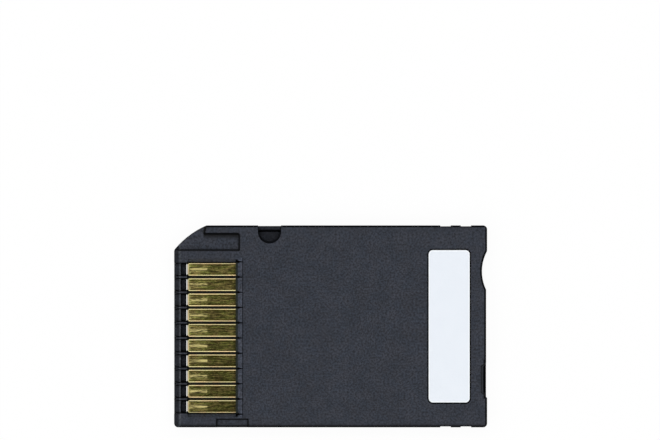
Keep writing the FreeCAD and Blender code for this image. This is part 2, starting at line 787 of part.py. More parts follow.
def make_contact(index):
    """Contact strip with cut front corners, rounded long edges and a nose that slopes down."""
    body = new_body(f"contact_{index + 1:02d}")
    half = contact_half
    middle = row_place(index)
    cut = s.contact_corner
    outline = [
        Corner(contact_front + cut, middle - half),
        Corner(contact_rear, middle - half),
        Corner(contact_rear, middle + half),
        Corner(contact_front + cut, middle + half),
        Corner(contact_front, middle + half - cut),
        Corner(contact_front, middle - half + cut),
    ]
    sketch = sketch_outline(body, "strip", outline, offset=board_top_z)
    strip = pad(body, "strip", sketch, s.contact_thickness)
    limit = s.contact_thickness * ROUND_LIMIT
    soften(body, "Fillet", strip, along_x_at(contact_z), smaller(s.contact_round, limit))

    nose = [
        Corner(contact_front - OVERSHOOT, contact_z - s.contact_nose_drop),
        Corner(contact_front, contact_z - s.contact_nose_drop),
        Corner(contact_front + s.contact_nose_length, contact_z),
        Corner(contact_front + s.contact_nose_length, contact_z + OVERSHOOT),
        Corner(contact_front - OVERSHOOT, contact_z + OVERSHOOT),
    ]
    pocket_across(body, "nose", sketch_outline(body, "nose", nose, "XZ_Plane"))
    return body


# Packages under the board

def make_package(name, x_low, x_high, y_low, y_high):
    """Leadless package with a chamfered marked face and a round mark at its first terminal."""
    body = new_body(name)
    outline = rectangle(x_low, x_high, y_low, y_high)
    block = pad(body, "block", sketch_outline(body, "block", outline, offset=parting_z),
                package_height, downward=True)
    marked_z = parting_z - package_height
    soften(body, "Chamfer", block, level_at(marked_z), s.package_chamfer)
    mark = new_sketch(body, "pin_mark", "XY_Plane", marked_z)
    draw_circle(mark, x_low + s.pin_mark_inset, y_low + s.pin_mark_inset, s.pin_mark_radius)
    pocket(body, "pin_mark", mark, s.pin_mark_depth, upward=True)
    return body


def make_passive(name, x_low, middle, height):
    """Chip capacitor or resistor: a body between two slightly larger metal ends."""
    body = new_body(name)
    x_high = x_low + s.passive_length
    half = s.passive_width / 2
    skin = s.passive_skin
    core = rectangle(x_low, x_high, middle - half + skin, middle + half - skin)
    pad(body, "core", sketch_outline(body, "core", core, offset=parting_z), height - skin, downward=True)
    ends = new_sketch(body, "ends", "XY_Plane", parting_z)
    draw_outline(ends, rectangle(x_low, x_low + s.passive_cap, middle - half, middle + half))
    draw_outline(ends, rectangle(x_high - s.passive_cap, x_high, middle - half, middle + half))
    pad(body, "ends", ends, height, downward=True)
    return body


def make_packages():
    """Memory package at the rear of the bay, the controller ahead of it, then two rows of small parts."""
    inset = s.board_clearance + s.board_ledge + s.shell_wall + s.memory_margin
    memory_rear = rear - inset
    memory_front = memory_rear - s.memory_length
    memory = make_package("memory_chip", memory_front, memory_rear, near_side + inset, far_side - inset)

    controller_rear = memory_front - s.package_gap
    controller_front = controller_rear - s.controller_length
    half = s.controller_length / 2
    controller = make_package(
        "controller_chip", controller_front, controller_rear, row_middle - half, row_middle + half)

    made = [memory, controller]
    row_x = controller_front
    rows = [("capacitor", CAPACITOR_COUNT, package_height), ("resistor", RESISTOR_COUNT, resistor_height)]
    for name, count, height in rows:
        row_x = row_x - s.passive_gap - s.passive_length
        for index in range(count):
            middle = row_middle + s.passive_pitch * (index - (count - 1) / 2)
            made.append(make_passive(f"{name}_{index + 1}", row_x, middle, height))
    return made


# Writing strip

def make_write_on_label():
    body = new_body("write_on_label")
    outline = sketch_outline(body, "film", strip_outline(s.strip_clearance), offset=face_z)
    pad(body, "film", outline, s.strip_thickness, downward=True)
    return body


# Build, test and write

def test_document(pieces):
    for item in doc.Objects:
        if "Invalid" in item.State or "Error" in item.State:
            raise RuntimeError(f"{item.Label} failed: {item.State}")
        if item.isDerivedFrom("Sketcher::SketchObject") and not item.FullyConstrained:
            raise RuntimeError(f"{item.Label} is not fully constrained")
    for piece in pieces:
        shape = piece.Shape
        if shape.isNull() or not shape.isValid() or len(shape.Solids) != 1:
            raise RuntimeError(f"{piece.Label} is not one valid solid")


pieces = [make_contact_shell(), make_label_shell(), make_circuit_board(), make_write_on_label()]
pieces += [make_contact(index) for index in range(int(s.contact_count.value))]
pieces += make_packages()
doc.recompute()
test_document(pieces)

os.makedirs("parts", exist_ok=True)
for piece in pieces:
    piece.Shape.exportStep(f"parts/{piece.Label}.step")
    box = piece.Shape.optimalBoundingBox(False, False)
    print(f"{piece.Label}: {piece.Shape.Volume:.3f} mm3, "
          f"{box.XLength:.2f} x {box.YLength:.2f} x {box.ZLength:.2f} mm")
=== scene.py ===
# Looks of the flash memory card: its finishes, the studio round it and the camera.
#
# Metres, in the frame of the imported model: contact side up, contacts at -X, cut corner at (-X, +Y).

import math

import bpy
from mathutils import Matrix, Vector


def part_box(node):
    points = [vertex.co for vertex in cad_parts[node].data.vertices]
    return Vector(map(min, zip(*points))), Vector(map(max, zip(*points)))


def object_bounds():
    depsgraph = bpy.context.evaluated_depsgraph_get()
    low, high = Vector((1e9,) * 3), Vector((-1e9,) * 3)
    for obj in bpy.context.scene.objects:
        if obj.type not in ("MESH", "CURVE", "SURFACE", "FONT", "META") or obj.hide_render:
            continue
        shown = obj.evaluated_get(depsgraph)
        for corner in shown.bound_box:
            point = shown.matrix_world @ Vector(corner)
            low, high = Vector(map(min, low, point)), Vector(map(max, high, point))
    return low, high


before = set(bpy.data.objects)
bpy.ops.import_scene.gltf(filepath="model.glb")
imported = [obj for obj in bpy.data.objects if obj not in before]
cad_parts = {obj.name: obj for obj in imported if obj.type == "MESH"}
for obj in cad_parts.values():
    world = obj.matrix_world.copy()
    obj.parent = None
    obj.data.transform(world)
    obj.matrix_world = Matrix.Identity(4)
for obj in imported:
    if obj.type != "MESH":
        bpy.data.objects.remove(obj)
cad_low, cad_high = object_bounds()

MM = 0.001
CONTACT_COUNT = 10

# Contact row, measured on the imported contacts
first_low, first_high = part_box("contact_01")
second_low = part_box("contact_02")[0]
contact_front = first_low.x
contact_rear = first_high.x
contact_length = contact_rear - contact_front
contact_top = first_high.z
contact_pitch = second_low.y - first_low.y
contact_half_share = (first_high.y - first_low.y) / 2 / contact_pitch
row_start = (first_low.y + first_high.y) / 2 - contact_pitch / 2
row_end = row_start + contact_pitch * CONTACT_COUNT

# Ramps behind the contacts, and the window that holds both
RAMP_GAP = 0.22 * MM
RAMP_LENGTH = 0.50 * MM
RAMP_X = (contact_rear + RAMP_GAP, contact_rear + RAMP_GAP + RAMP_LENGTH)
WINDOW_MARGIN = 0.35 * MM
STEP_HALF = 0.05 * MM

# Groove between two ramps: half its width at the contacts, the length of its taper, half its width after it
GROOVE_HALF = 0.25 * MM
GROOVE_TAPER = 0.50 * MM
GROOVE_TIP_HALF = 0.03 * MM

# Contact shell, from its front end: a bevel, which gets painted shade, and the crest behind it in each
# slot, which gets a painted highlight
BEVEL_LENGTH = 0.45 * MM
CREST_X = (cad_low.x + 0.50 * MM, cad_low.x + 0.69 * MM)

# Contact shell: depth from which a floor lies in painted shade, the painted dark rim, and the painted shade
# along the near side
SHADED_DEPTH = 0.38 * MM
RIM_DEPTH = 0.14 * MM
RIM_WIDTH = 0.19 * MM
NEAR_SHADE_WIDTH = 0.36 * MM

# Rear end: the finger notch, and the stretch from its middle to the nail scoop, which is set back
FINGER_RADIUS = 4.20 * MM
FINGER_CENTRE = (cad_high.x - 0.51 * MM + FINGER_RADIUS, cad_high.y - 4.55 * MM)
SET_BACK = 0.10 * MM
SET_BACK_Y = (cad_low.y + 2.93 * MM, FINGER_CENTRE[1])

# Recess by the cut corner: the rail at its far side keeps the light off a strip of its floor
RAIL_X = (cad_low.x + 2.9 * MM, cad_low.x + 6.4 * MM)
RAIL_Y = cad_high.y - 0.80 * MM
RAIL_SHADOW = 0.80 * MM
RAIL_EDGE = 0.08 * MM
RECESS_DEPTH = 0.35 * MM

# Latch notch at the far side, with its dam, and nail scoop at the rear end
LATCH_X = (cad_low.x + 8.2 * MM, cad_low.x + 10.7 * MM)
LATCH_REACH = 2.0 * MM
DAM_WIDTH = 0.50 * MM
DAM_LINE = 0.15 * MM
SCOOP_WIDTH = 0.66 * MM
SCOOP_Y = (cad_low.y + 2.85 * MM, cad_low.y + 6.68 * MM)
SCOOP_SHADOW = 0.36 * MM

# Writing strip, measured on the imported film: its corners, its painted highlight border and the painted
# shade line round it
strip_low, strip_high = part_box("write_on_label")
STRIP_CORNER = 0.42 * MM
STRIP_BORDER = 0.12 * MM
STRIP_LINE = 0.14 * MM

# Print on the label face: a white field, and an arrow that points at the contact end
FIELD_X = (4.70 * MM, 14.19 * MM)
FIELD_Y = (4.27 * MM, 8.13 * MM)
ARROW_TIP_X = -10.20 * MM
ARROW_BASE_X = -8.57 * MM
ARROW_Y = 7.31 * MM
ARROW_HALF_WIDTH = 0.84 * MM
PRINT_EDGE = 0.03 * MM

# Widths over which a finish changes
SHARP = 0.02 * MM
MILD = 0.04 * MM
SOFT = 0.10 * MM

# Slopes, as the upward part of a face's normal: one limit or two, and then the width of the change
FLAT_SLOPE = (0.75, 0.30)
RAMP_SLOPE = (0.65, 0.10)
ROUND_SLOPE = (0.955, 0.05)
WALL_SLOPE = (0.07, 0.52, 0.07)
GOLD_EDGE_SLOPE = (0.97, 0.04)

# Edges, found where the Bevel node's rounded normal departs from the face's own, by the cosine of the angle
EDGE_RADIUS = 0.22 * MM
EDGE_SAMPLES = 8
EDGE_COSINES = (0.90, 0.995)

# Camera straight above, at the scale and place that the card has in the photograph
IMAGE_WIDTH = 660
IMAGE_HEIGHT = 440
PIXELS_PER_METRE = 10.1 / MM
CARD_CENTRE_PIXEL = (330.6, 326.4)
LENS_MM = 300
SENSOR_MM = 36
NEAREST_SEEN = 0.01
FARTHEST_SEEN = 20.0

# Studio: large soft lamps round the card, and a ceiling that dims from the horizon up to ZENITH_HEIGHT
LAMP_DISTANCE = 0.5
ZENITH_LIGHT = 0.17
ZENITH_HEIGHT = 0.7
HORIZON_LIGHT = 0.9
WORLD_COLOUR = (1.0, 1.0, 1.0, 1.0)

# Floor: white, with a lower and warmer glow where the contact row covers it: painted shade and a painted
# reflection of the gold
FLOOR_HALF = 4.0
FLOOR_DROP = 0.01 * MM
FLOOR_GLOW = 0.94
COVERED_PAINTED_GLOW = 0.36
FLOOR_COLOUR = (1.0, 1.0, 1.0)
COVERED_GOLD_REFLECTION = (1.0, 0.97, 0.80)


class Finish:
    """One material and the node graph that feeds its shader."""

    def __init__(self, name):
        self.material = bpy.data.materials.new(name)
        self.material.use_nodes = True
        self.tree = self.material.node_tree
        self.shader = self.tree.nodes["Principled BSDF"]
        source = self.add("ShaderNodeTexCoord")
        self.coordinates = source.outputs["Object"]
        self.x, self.y, self.z = self.parts(self.coordinates)
        self.upward = self.parts(source.outputs["Normal"])[2]

    def add(self, kind, **settings):
        """New node of this kind."""
        node = self.tree.nodes.new(kind)
        for name, value in settings.items():
            setattr(node, name, value)
        return node

    def put(self, socket, value):
        """Feed a socket with another socket or with a plain value."""
        if isinstance(value, bpy.types.NodeSocket):
            self.tree.links.new(value, socket)
        else:
            socket.default_value = value

    def parts(self, vector):
        """The three numbers of a vector."""
        node = self.add("ShaderNodeSeparateXYZ")
        self.put(node.inputs[0], vector)
        return list(node.outputs)

    def surface(self, **values):
        """Feed the shader's inputs, named with underscores for spaces."""
        for name, value in values.items():
            self.put(self.shader.inputs[name.replace("_", " ")], value)

    def math(self, operation, first, second=0.0):
        """Result of a sum or other operation on numbers."""
        node = self.add("ShaderNodeMath", operation=operation)
        self.put(node.inputs[0], first)
        self.put(node.inputs[1], second)
        return node.outputs[0]

    def ramp(self, value, from_low, from_high, to_low=0.0, to_high=1.0):
        """Smooth change from one number to another while the value crosses a range."""
        node = self.add("ShaderNodeMapRange", interpolation_type="SMOOTHSTEP")
        for socket, number in zip(node.inputs, (value, from_low, from_high, to_low, to_high)):
            self.put(socket, number)
        return node.outputs[0]

    def above(self, value, limit, edge):
        """Mask: 1 above the limit, 0 below it, with a soft edge."""
        return self.ramp(value, limit - edge / 2, limit + edge / 2)

    def below(self, value, limit, edge):
        """Mask: 1 below the limit, 0 above it, with a soft edge."""
        return self.ramp(value, limit - edge / 2, limit + edge / 2, 1.0, 0.0)

    def within(self, value, low, high, edge):
        """Mask: 1 between low and high, 0 outside, with soft edges."""
        return self.both(self.above(value, low, edge), self.below(value, high, edge))

    def both(self, first, *others):
        """Mask that holds where all of these hold. Also the product of numbers."""
        for other in others:
            first = self.math("MULTIPLY", first, other)
        return first

    def either(self, first, *others):
        """Mask that holds where any of these holds. Also the largest of numbers."""
        for other in others:
            first = self.math("MAXIMUM", first, other)
        return first

    def share(self, mask, off, on):
        """Number that goes from off to on as the mask goes from 0 to 1."""
        return self.ramp(mask, 0.0, 1.0, off, on)

    def outside(self, mask):
        """Mask that holds where this one doesn't."""
        return self.share(mask, 1.0, 0.0)

    def from_axis(self, x, y):
        """Distance from an upright axis."""
        offsets = (self.math("SUBTRACT", self.x, x), self.math("SUBTRACT", self.y, y))
        squares = [self.math("MULTIPLY", offset, offset) for offset in offsets]
        return self.math("SQRT", self.math("ADD", *squares))

    def from_box(self, low, high, corner):
        """Distance outwards from an upright box with round corners."""
        squares = []
        for place, start, end in ((self.x, low.x, high.x), (self.y, low.y, high.y)):
            from_middle = self.math("ABSOLUTE", self.math("SUBTRACT", place, (start + end) / 2))
            beyond = self.either(self.math("SUBTRACT", from_middle, (end - start) / 2 - corner), 0.0)
            squares.append(self.math("MULTIPLY", beyond, beyond))
        return self.math("SUBTRACT", self.math("SQRT", self.math("ADD", *squares)), corner)

    def near_edge(self, radius):
        """Mask: 1 along the edges of the piece, 0 on open faces, over about this radius."""
        rounded = self.add("ShaderNodeBevel", samples=EDGE_SAMPLES)
        rounded.inputs["Radius"].default_value = radius
        agreement = self.add("ShaderNodeVectorMath", operation="DOT_PRODUCT")
        self.put(agreement.inputs[0], rounded.outputs["Normal"])
        self.put(agreement.inputs[1], self.add("ShaderNodeNewGeometry").outputs["Normal"])
        return self.ramp(agreement.outputs["Value"], *EDGE_COSINES, 1.0, 0.0)

    def stretched(self, x, y, z):
        """Object coordinates, each scaled by its own number."""
        node = self.add("ShaderNodeVectorMath", operation="MULTIPLY")
        self.put(node.inputs[0], self.coordinates)
        node.inputs[1].default_value = (x, y, z)
        return node.outputs[0]

    def noise(self, size, detail=2.0, roughness=0.5, stretch=(1.0, 1.0, 1.0)):
        """Noise with features of about this size, longer where the stretch is larger."""
        node = self.add("ShaderNodeTexNoise")
        self.put(node.inputs["Vector"], self.stretched(*[1.0 / (size * share) for share in stretch]))
        node.inputs["Scale"].default_value = 1.0
        node.inputs["Detail"].default_value = detail
        node.inputs["Roughness"].default_value = roughness
        return node.outputs["Fac"]

    def mix(self, share, first, second):
        """Colour between two colours."""
        node = self.add("ShaderNodeMix", data_type="RGBA")
        self.put(node.inputs["Factor"], share)
        for name, colour in (("A", first), ("B", second)):
            socket = next(s for s in node.inputs if s.name == name and s.type == "RGBA")
            self.put(socket, colour if isinstance(colour, bpy.types.NodeSocket) else (*colour, 1.0))
        return next(s for s in node.outputs if s.type == "RGBA")

    def tinted(self, colour, cast):
        """Colour times a colour."""
        node = self.add("ShaderNodeVectorMath", operation="MULTIPLY")
        self.put(node.inputs[0], colour)
        self.put(node.inputs[1], cast)
        return node.outputs[0]

    def scaled(self, colour, number):
        """Colour times a number."""
        node = self.add("ShaderNodeVectorMath", operation="SCALE")
        self.put(node.inputs[0], colour)
        self.put(node.inputs["Scale"], number)
        return node.outputs[0]

    def bump(self, height, distance, strength):
        """Fine relief on the whole surface."""
        node = self.add("ShaderNodeBump")
        self.put(node.inputs["Height"], height)
        node.inputs["Distance"].default_value = distance
        self.put(node.inputs["Strength"], strength)
        self.put(self.shader.inputs["Normal"], node.outputs[0])


class ShellFinish(Finish):
    """Finish of the contact shell, with a mask for each place that gets painted shade or a painted
    highlight.
    """

    def __init__(self, name):
        super().__init__(name)
        self.flat = self.above(self.upward, *FLAT_SLOPE)
        self.wall = self.within(self.upward, *WALL_SLOPE)
        self.bevel = self.below(self.x, cad_low.x + BEVEL_LENGTH, SOFT)
        self.behind_bevel = self.above(self.x, cad_low.x + BEVEL_LENGTH + SOFT, SOFT)
        self.in_row = self.within(self.y, row_start - WINDOW_MARGIN, row_end + WINDOW_MARGIN, SHARP)
        self.in_window = self.both(
            self.in_row, self.within(self.x, contact_front, RAMP_X[1] + SHARP, SHARP))
        self.in_latch = self.both(
            self.within(self.x, *LATCH_X, SHARP), self.above(self.y, cad_high.y - LATCH_REACH, SHARP))
        self.in_notch = self.both(self.in_latch, self.below(self.z, cad_high.z - SHARP, SHARP))
        self.in_scoop = self.both(
            self.above(self.x, cad_high.x - SCOOP_WIDTH, SHARP), self.within(self.y, *SCOOP_Y, SHARP))

    def crests(self):
        """Tops of the nose bar in the slots."""
        return self.both(
            self.within(self.x, *CREST_X, SHARP), self.above(self.z, contact_top - SHARP, SHARP))

    def deep_floors(self):
        """Floors of recesses and slots that lie in shade."""
        return self.both(self.flat, self.below(self.z, cad_high.z - SHADED_DEPTH, SHARP))

    def ramps(self):
        """Faces of the ramps behind the contacts."""
        return self.both(
            self.in_window, self.within(self.x, *RAMP_X, SHARP), self.above(self.upward, *RAMP_SLOPE))

    def steps(self):
        """Step from each ramp up to the face."""
        top = RAMP_X[1]
        return self.both(self.in_window, self.within(self.x, top - STEP_HALF, top + STEP_HALF, SHARP))

    def grooves(self):
        """Grooves between the ramps, which get narrower towards the rear."""
        from_rib = self.math("PINGPONG", self.math("SUBTRACT", self.y, row_start), contact_pitch / 2)
        half = self.ramp(
            self.x, contact_rear, contact_rear + GROOVE_TAPER, GROOVE_HALF, GROOVE_TIP_HALF)
        return self.both(
            self.in_window, self.above(self.x, contact_rear, SHARP),
            self.above(self.math("SUBTRACT", half, from_rib), 0.0, SHARP))

    def dam(self):
        """Dam at the mouth of the latch notch."""
        return self.both(self.in_notch, self.above(self.y, cad_high.y - DAM_WIDTH, SHARP))

    def dam_line(self):
        """Painted shadow line along the dam, inside the latch notch."""
        foot = cad_high.y - DAM_WIDTH
        return self.both(self.in_notch, self.within(self.y, foot - DAM_LINE, foot, SHARP))

    def outline(self):
        """Strip along the outline of the card, and faces that lean away from up."""
        rear = self.above(self.x, cad_high.x - RIM_WIDTH, MILD)
        rear_set_back = self.both(
            self.above(self.x, cad_high.x - SET_BACK - RIM_WIDTH, MILD),
            self.within(self.y, *SET_BACK_Y, SHARP))
        return self.either(
            self.below(self.upward, *ROUND_SLOPE),
            self.above(self.math("ABSOLUTE", self.y), cad_high.y - RIM_WIDTH, MILD),
            rear,
            rear_set_back,
            self.below(self.from_axis(*FINGER_CENTRE), FINGER_RADIUS + RIM_WIDTH, MILD))

    def rim(self):
        """Painted shade along the rim round the face."""
        return self.both(
            self.outline(), self.behind_bevel,
            self.above(self.z, cad_high.z - RIM_DEPTH, MILD), self.outside(self.in_window))

    def near_rim(self):
        """Painted shade along the rim of the near side, also in its recess."""
        return self.both(
            self.below(self.y, cad_low.y + RIM_WIDTH, MILD), self.behind_bevel, self.flat)

    def near_shade(self):
        """Wider, fainter shade along the near side."""
        return self.below(self.y, cad_low.y + NEAR_SHADE_WIDTH, SOFT)

    def edges(self):
        """Edges behind the bevel, apart from those of the slots, the latch notch and the nail scoop."""
        in_slots = self.both(self.in_row, self.below(self.x, RAMP_X[1] + SOFT, SOFT))
        return self.both(
            self.near_edge(EDGE_RADIUS), self.behind_bevel,
            self.outside(self.in_scoop), self.outside(self.in_latch), self.outside(in_slots))

    def open_walls(self):
        """Steep walls, apart from those of the latch notch and the nail scoop."""
        return self.both(self.wall, self.outside(self.in_scoop), self.outside(self.in_latch))

    def rail_shadow(self):
        """Strip of the corner recess that lies in the rail's shade."""
        return self.both(
            self.within(self.x, *RAIL_X, SOFT), self.ramp(self.y, RAIL_Y - RAIL_SHADOW, RAIL_Y),
            self.below(self.z, cad_high.z - RECESS_DEPTH / 2, SHARP), self.flat)

    def rail_edge(self):
        """Painted shadow line along the rail."""
        return self.both(
            self.within(self.x, *RAIL_X, SHARP),
            self.within(self.y, RAIL_Y - SHARP, RAIL_Y + RAIL_EDGE, SHARP))

    def strip_line(self):
        """Painted shade line round the writing strip."""
        return self.below(self.from_box(strip_low, strip_high, STRIP_CORNER), STRIP_LINE, MILD)

    def scoop_shadow(self):
        """Outer part of the nail scoop, which lies in shade."""
        return self.both(self.in_scoop, self.above(self.x, cad_high.x - SCOOP_SHADOW, SOFT))


# Finishes. A change is a range that a value crosses, then the numbers at its ends where not 0 and 1.

# Plastic of both shells
PLASTIC = (0.0240, 0.0290, 0.0415)
PLASTIC_TINT = (0.0265, 0.0295, 0.0400)
PLASTIC_GLOSS = 0.25
PLASTIC_ROUGHNESS = 0.60
TINT_SIZE = 0.9 * MM
TINT_CHANGE = (0.35, 0.65)
CLOUD_SIZE = 1.8 * MM
CLOUD_CHANGE = (0.3, 0.7, 0.9, 1.1)
GRAIN_SIZE = 0.20 * MM
GRAIN_CHANGE = (0.25, 0.75, 0.35, 1.65)
GRAIN_DEPTH = 0.012 * MM
GRAIN_STRENGTH = 0.35


def plastic_colour(finish):
    """Dark grained plastic: fine speckle over a faint change of tint."""
    tint = finish.ramp(finish.noise(TINT_SIZE, detail=3.0), *TINT_CHANGE)
    cloud = finish.ramp(finish.noise(CLOUD_SIZE, detail=2.0), *CLOUD_CHANGE)
    grain = finish.noise(GRAIN_SIZE, detail=3.0, roughness=0.7)
    speckle = finish.ramp(grain, *GRAIN_CHANGE)
    finish.bump(grain, GRAIN_DEPTH, GRAIN_STRENGTH)
    return finish.scaled(finish.mix(tint, PLASTIC, PLASTIC_TINT), finish.math("MULTIPLY", cloud, speckle))


# Contact shell: painted shade and painted highlights as shares of the plastic's tone, gloss kept,
# roughness, tint of painted light
DIM_SHADE = 0.42
NEAR_SHADE = 0.62
RAIL_SHADE = 0.12
SCOOP_WALL_SHADE = 0.65
NOTCH_WALL_SHADE = 0.50
GAP_SHADE = 0.38
HIDDEN_SHADE = 0.08
PAINTED_HIGHLIGHT_LEVEL = 1.7
DIM_GLOSS = PLASTIC_GLOSS / 2
HIDDEN_GLOSS_SHARE = 0.2
BEVEL_ROUGHNESS = 0.40
NO_CAST = (1.0, 1.0, 1.0)
CREST_HIGHLIGHT_TINT = (1.0, 0.97, 0.85)
GAP_GOLD_REFLECTION = (1.0, 0.92, 0.45)


def shell_plastic():
    """Contact shell: grained face, painted shade on bevel, floors and edges, painted highlight on crests
    and ramps.
    """
    finish = ShellFinish("shell_plastic")
    # Crests and ramps get a painted highlight: a lighter tone where the light catches them.
    crests = finish.crests()
    floors = finish.deep_floors()
    # Gaps between the contacts get painted shade and a warm painted reflection of the gold.
    gaps = finish.both(floors, finish.within(finish.x, contact_front, contact_rear, SHARP))
    # Walls of the latch notch and the nail scoop get painted shade.
    notch_wall = finish.both(finish.in_notch, finish.wall)
    scoop_wall = finish.both(finish.in_scoop, finish.wall)
    # Painted shade on the bevel, the deep floors, the dam and the latch notch's wall.
    dim = finish.either(finish.bevel, floors, finish.dam(), notch_wall)
    # Painted shade: nearly black lines where walls, rims, steps, grooves, the strip's gap and edges lie in
    # shadow.
    hidden = finish.either(
        finish.open_walls(), finish.rim(), finish.near_rim(), finish.rail_edge(), finish.strip_line(),
        finish.dam_line(), finish.steps(), finish.grooves(), finish.scoop_shadow())
    shades = (
        (dim, DIM_SHADE),
        (finish.near_shade(), NEAR_SHADE),
        (finish.rail_shadow(), RAIL_SHADE),
        (scoop_wall, SCOOP_WALL_SHADE),
        (notch_wall, NOTCH_WALL_SHADE),
        (gaps, GAP_SHADE),
        (finish.either(hidden, finish.edges()), HIDDEN_SHADE),
        (finish.either(crests, finish.ramps()), PAINTED_HIGHLIGHT_LEVEL))
    shade = finish.both(*[finish.share(mask, 1.0, level) for mask, level in shades])
    # Tint of the painted light: the gold's painted reflection in the gaps, and the hue of the crests'
    # painted highlight.
    cast = finish.mix(gaps, finish.mix(crests, NO_CAST, CREST_HIGHLIGHT_TINT), GAP_GOLD_REFLECTION)
    finish.surface(
        Base_Color=finish.scaled(finish.tinted(plastic_colour(finish), cast), shade),
        Roughness=finish.share(finish.bevel, PLASTIC_ROUGHNESS, BEVEL_ROUGHNESS),
        Specular_IOR_Level=finish.both(
            finish.share(dim, PLASTIC_GLOSS, DIM_GLOSS), finish.share(hidden, 1.0, HIDDEN_GLOSS_SHARE)))
    return finish.material


# Print on the label shell
PRINT_WHITE = (0.76, 0.76, 0.80)
PRINT_WORN = (0.72, 0.73, 0.78)
PRINT_WEAR_SIZE = 0.6 * MM
PRINT_ROUGHNESS = 0.42


def printed_arrow(finish):
    """Mask of the triangle that points at the contact end."""
    slope = ARROW_HALF_WIDTH / (ARROW_BASE_X - ARROW_TIP_X)
    half_width = finish.math("MULTIPLY", finish.math("SUBTRACT", finish.x, ARROW_TIP_X), slope)
    from_middle = finish.math("ABSOLUTE", finish.math("SUBTRACT", finish.y, ARROW_Y))
    return finish.both(
        finish.above(finish.math("SUBTRACT", half_width, from_middle), 0.0, PRINT_EDGE),
        finish.within(finish.x, ARROW_TIP_X, ARROW_BASE_X, PRINT_EDGE))


def label_shell_plastic():
    """Label shell: the same plastic, with the white field and the arrow printed on the label face."""
    finish = Finish("label_shell_plastic")
    field = finish.both(
        finish.within(finish.x, *FIELD_X, PRINT_EDGE), finish.within(finish.y, *FIELD_Y, PRINT_EDGE))
    label_face = finish.below(finish.z, cad_low.z + SHARP / 2, SHARP)
    printed = finish.both(finish.either(field, printed_arrow(finish)), label_face)
    ink = finish.mix(finish.noise(PRINT_WEAR_SIZE), PRINT_WHITE, PRINT_WORN)
    finish.surface(
        Base_Color=finish.mix(printed, plastic_colour(finish), ink),
        Roughness=finish.share(printed, PLASTIC_ROUGHNESS, PRINT_ROUGHNESS),
        Specular_IOR_Level=PLASTIC_GLOSS)
    return finish.material


# Gold of the contacts: colours of the plate, of the painted dark reflection inside its long edges, and of
# its edges
GOLD_GREENISH = (0.50, 0.49, 0.125)
GOLD_REDDISH = (0.61, 0.49, 0.165)
GOLD_WIPED = (0.90, 0.77, 0.32)
GOLD_DARK_REFLECTION = (0.15, 0.11, 0.013)
GOLD_EDGE_YELLOW = (0.76, 0.68, 0.36)
GOLD_EDGE_ORANGE = (0.79, 0.60, 0.33)

# Gold of the contacts: noise, drawn out along the card
STREAK_SIZE = 0.08 * MM
STREAK_STRETCH = (12.0, 1.0, 1.0)
STREAK_SHARE = 0.65
SPECK_SIZE = 0.12 * MM
SPECK_STRETCH = (2.0, 1.0, 1.0)
SPECK_SHARE = 0.35
PATCH_SIZE = 0.40 * MM
PATCH_STRETCH = (3.0, 1.0, 1.0)
PATCH_CHANGE = (0.42, 0.58)
GLINT_SIZE = 1.1 * MM
GLINT_STRETCH = (6.0, 1.0, 1.0)
GLINT_CHANGE = (0.35, 0.65, 0.8, 1.1)
BRUSH_DEPTH = 0.006 * MM
BRUSH_STRENGTH = 0.3

# Gold of the contacts: the wipe mark and the painted dark reflection lines, by limits and the width of the
# change at them
WIPE_ACROSS = (0.10, 0.14)
WIPE_ALONG = (0.05, 0.41, 0.02)
WIPE_CHANGE = (0.38, 0.55, 0.1, 1.0)
DARK_REFLECTION_ACROSS = (contact_half_share - 0.16, contact_half_share - 0.115, 0.03)

# Gold of the contacts: plate levels along a contact (painted highlight behind the nose), along the row
# (painted light), roughness
MARK_CHANGE = (0.38, 0.62, 0.28, 1.22)
NOSE_HIGHLIGHT_CHANGE = (0.035, 0.075, 2.2, 1.0)
MIDDLE_CHANGE = (0.30, 0.50, 1.15, 0.70)
TAIL_CHANGE = (0.93, 1.0, 1.0, 0.5)
ROW_LIGHT_FALLOFF = (row_start, row_end, 0.70, 1.15)
EDGE_TIP_CHANGE = (0.02, 0.03, 0.75, 1.0)
WORN_ROUGHNESS_CHANGE = (0.35, 0.9, 0.20, 0.42)
GOLD_EDGE_ROUGHNESS = 0.3


def contact_places(finish):
    """Distance from a contact's middle, as a share of the pitch, and place along it, of its length."""
    row_place = finish.math("DIVIDE", finish.math("SUBTRACT", finish.y, row_start), contact_pitch)
    across = finish.math("ABSOLUTE", finish.math("SUBTRACT", finish.math("FRACT", row_place), 0.5))
    along = finish.math("DIVIDE", finish.math("SUBTRACT", finish.x, contact_front), contact_length)
    return across, along


